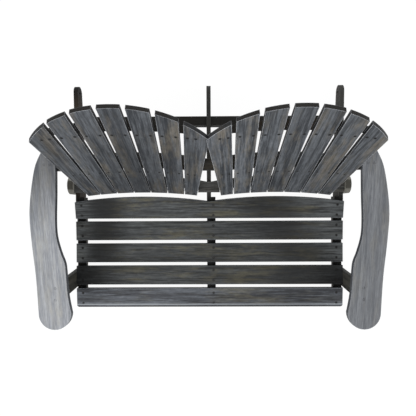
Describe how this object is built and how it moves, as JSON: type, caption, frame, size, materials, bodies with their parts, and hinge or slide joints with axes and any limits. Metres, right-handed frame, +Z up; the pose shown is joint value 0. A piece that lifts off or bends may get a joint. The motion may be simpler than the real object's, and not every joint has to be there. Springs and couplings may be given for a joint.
{
  "type": "porch swing seat",
  "caption": "Two-place wooden hanging seat with twin fan-shaped slatted backs, wide paddle arms and horned long rails with hanging holes.",
  "frame": {"origin": "lower edge of the centre long rail, in the middle of the seat's width", "axes": "+X to the right as seen from the front, +Y towards the back, +Z up"},
  "size_m": [1.3628, 0.9869, 0.6478],
  "materials": {
    "seat_boards": "weathered grey stain, matt",
    "back_slats": "weathered grey stain, matt",
    "arms": "weathered grey stain, matt",
    "posts": "weathered grey stain, matt",
    "under_frame": "weathered grey stain, matt",
    "back_rails": "weathered grey stain, matt",
    "fasteners": "dark zinc"
  },
  "bodies": {
    "root": {"long_rail_left": "under_frame", "long_rail_centre": "under_frame", "long_rail_right": "under_frame", "cleat_left": "under_frame", "cleat_centre": "under_frame", "cleat_right": "under_frame", "seat_slat_1": "seat_boards", "seat_slat_2": "seat_boards", "seat_slat_3": "seat_boards", "seat_slat_4": "seat_boards", "seat_slat_5": "seat_boards", "rear_stretcher_left": "under_frame", "rear_stretcher_right": "under_frame", "ear_left": "posts", "ear_right": "posts", "lower_back_rail": "back_rails", "arm_rail": "back_rails", "upper_support_left": "back_rails", "upper_support_right": "back_rails", "back_slat_left_1": "back_slats", "back_slat_left_2": "back_slats", "back_slat_left_3": "back_slats", "back_slat_left_4": "back_slats", "back_slat_left_5": "back_slats", "back_slat_left_6": "back_slats", "back_slat_left_7": "back_slats", "back_slat_right_1": "back_slats", "back_slat_right_2": "back_slats", "back_slat_right_3": "back_slats", "back_slat_right_4": "back_slats", "back_slat_right_5": "back_slats", "back_slat_right_6": "back_slats", "back_slat_right_7": "back_slats", "arm_left": "arms", "arm_right": "arms", "arm_post_left": "posts", "arm_post_right": "posts", "frame_bolts": "fasteners", "frame_nuts": "fasteners", "seat_screws": "fasteners", "back_screws": "fasteners", "arm_screws": "fasteners"}
  },
  "joints": []
}
